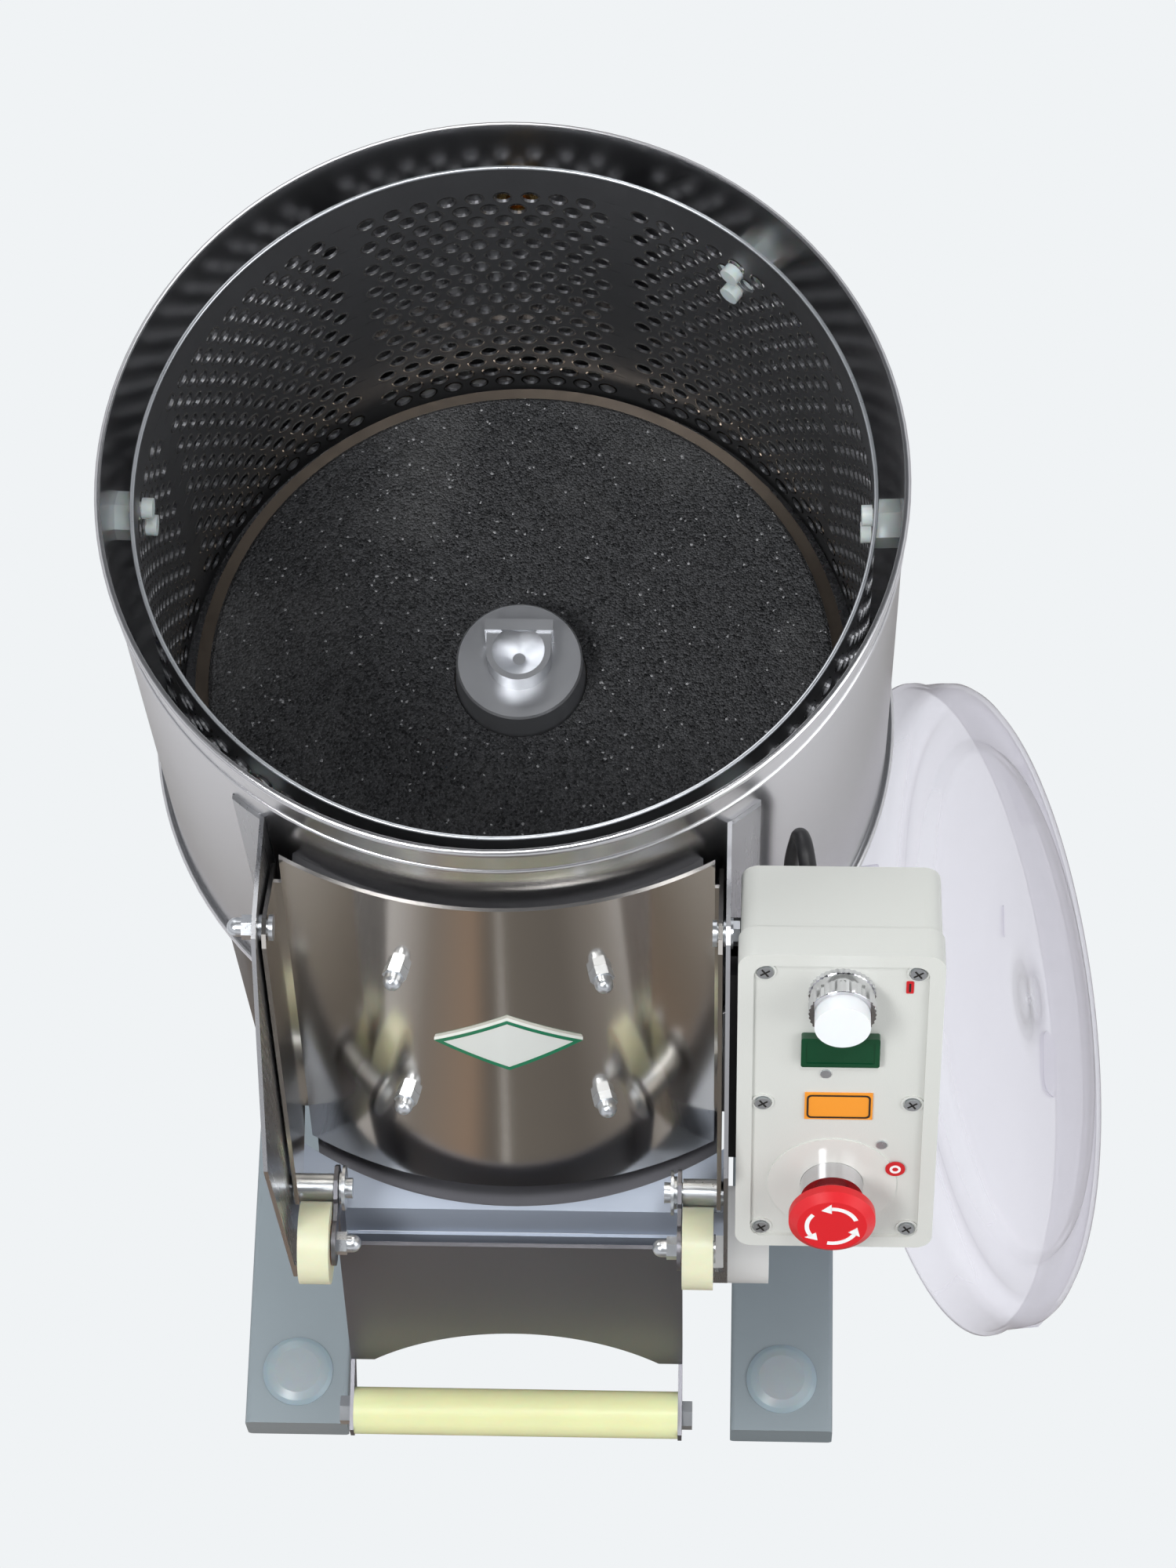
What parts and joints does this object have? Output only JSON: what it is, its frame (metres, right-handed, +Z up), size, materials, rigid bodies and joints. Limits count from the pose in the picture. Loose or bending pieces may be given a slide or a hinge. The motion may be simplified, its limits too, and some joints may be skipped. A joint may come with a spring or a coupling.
{
  "type": "potato_peeler",
  "caption": "Floor-standing potato peeler: steel drum with a perforated liner and abrasive disc, swinging discharge door with a roller lever, grey control box and a clear lid leaning beside it",
  "frame": {"origin": "on the floor under the vessel's axis", "axes": "+Z up along the vessel's axis, -Y towards the discharge door, +X towards the control box and the lid"},
  "size_m": [0.5125, 0.5519, 0.715],
  "materials": {
    "polished_steel": "polished",
    "satin_steel": "satin",
    "zinc_steel": "bright",
    "beam_paint": "satin",
    "plug_plastic": "translucent",
    "rubber": "matt",
    "nylon": "satin",
    "brass": "satin",
    "cast_aluminium": "cast",
    "grit": "coarse",
    "cast_iron": "rough",
    "motor_paint": "satin",
    "badge_paint": "gloss",
    "roller_nylon": "satin",
    "grey_plastic": "fine texture",
    "green_lens": "clear",
    "orange_label": "gloss",
    "chrome": "polished",
    "white_plastic": "gloss",
    "red_plastic": "satin",
    "black_plastic": "satin",
    "clear_plastic": "clear",
    "white_pvc": "satin"
  },
  "bodies": {
    "frame": {"vessel_shell": "polished_steel", "foot_beam_left": "beam_paint", "foot_beam_right": "beam_paint", "foot_plugs": "plug_plastic", "rubber_feet": "rubber", "base_plate": "satin_steel", "lower_housing": "satin_steel", "rear_cover": "satin_steel", "rear_cover_screws": "zinc_steel", "vessel_floor": "satin_steel", "perforated_liner": "satin_steel", "liner_fixings": "nylon", "water_inlet": "brass", "bearing_housing": "cast_iron", "ball_bearings": "zinc_steel", "shaft_seal": "rubber", "motor_plate": "zinc_steel", "motor_body": "motor_paint", "drive_belt": "rubber", "chute_cheek_left": "satin_steel", "chute_cheek_right": "satin_steel", "hinge_bolts": "zinc_steel", "chute_floor": "satin_steel", "discharge_neck": "satin_steel", "control_box_base": "grey_plastic", "control_box_cover": "grey_plastic", "box_screws": "zinc_steel", "green_lens": "green_lens", "label_plate": "orange_label", "button_collars": "chrome", "contact_blocks": "black_plastic", "box_bracket": "black_plastic", "box_cable": "black_plastic", "drain_outlet": "white_pvc"},
    "disc": {"abrasive_disc": "cast_aluminium", "abrasive_layer": "grit", "hub_cap": "cast_aluminium", "lifting_eye": "cast_aluminium", "main_shaft": "zinc_steel", "large_pulley": "cast_iron"},
    "rotor": {"motor_shaft": "zinc_steel", "small_pulley": "cast_iron"},
    "door": {"door_panel": "polished_steel", "door_gasket": "rubber", "door_inner_plate": "satin_steel", "door_nuts": "zinc_steel", "badge_plate": "badge_paint", "pivot_pins": "zinc_steel"},
    "lever": {"lever_frame": "satin_steel", "grip_tube": "roller_nylon", "grip_bolt": "zinc_steel", "roller_axles": "zinc_steel"},
    "roller_l": {"roller_left": "roller_nylon"},
    "roller_r": {"roller_right": "roller_nylon"},
    "start": {"start_button": "white_plastic"},
    "estop": {"estop_stem": "chrome"},
    "estop_knob": {"estop_head": "red_plastic"},
    "lid_body": {"lid": "clear_plastic"}
  },
  "joints": [
    {"name": "disc_spin", "type": "hinge", "parent": "frame", "child": "disc", "pos_m": [0, 0, 0.484], "axis": [0, 0, 1], "continuous": true},
    {"name": "motor_spin", "type": "hinge", "parent": "frame", "child": "rotor", "pos_m": [0, 0.112, 0.214], "axis": [0, 0, 1], "continuous": true},
    {"name": "door_swing", "type": "hinge", "parent": "frame", "child": "door", "pos_m": [0, -0.203, 0.665], "axis": [-1, 0, 0], "range_deg": [0, 60]},
    {"name": "lever_swing", "type": "hinge", "parent": "door", "child": "lever", "pos_m": [0, -0.25792, 0.45299], "axis": [-1, 0, 0], "range_deg": [0, 100]},
    {"name": "roller_left_spin", "type": "hinge", "parent": "lever", "child": "roller_l", "pos_m": [-0.0926, -0.28592, 0.45299], "axis": [1, 0, 0], "continuous": true},
    {"name": "roller_right_spin", "type": "hinge", "parent": "lever", "child": "roller_r", "pos_m": [0.0926, -0.28592, 0.45299], "axis": [1, 0, 0], "continuous": true},
    {"name": "start_press", "type": "slide", "parent": "frame", "child": "start", "axis": [0, 0.9085, -0.4179], "range_m": [0, 0.004], "stiffness_N_per_m": 400},
    {"name": "estop_press", "type": "slide", "parent": "frame", "child": "estop", "axis": [0, 0.9085, -0.4179], "range_m": [0, 0.005], "stiffness_N_per_m": 400},
    {"name": "estop_twist", "type": "hinge", "parent": "estop", "child": "estop_knob", "pos_m": [0.155, -0.28514, 0.55803], "axis": [0, -0.9085, 0.4179], "range_deg": [0, 30]},
    {"name": "lid_lift", "type": "slide", "parent": "frame", "child": "lid_body", "axis": [0.9272, 0, 0.3746], "range_m": [0, 0.4]}
  ],
  "couplings": [
    {"joint": "motor_spin", "follows": "disc_spin", "ratio": 4.0667}
  ]
}
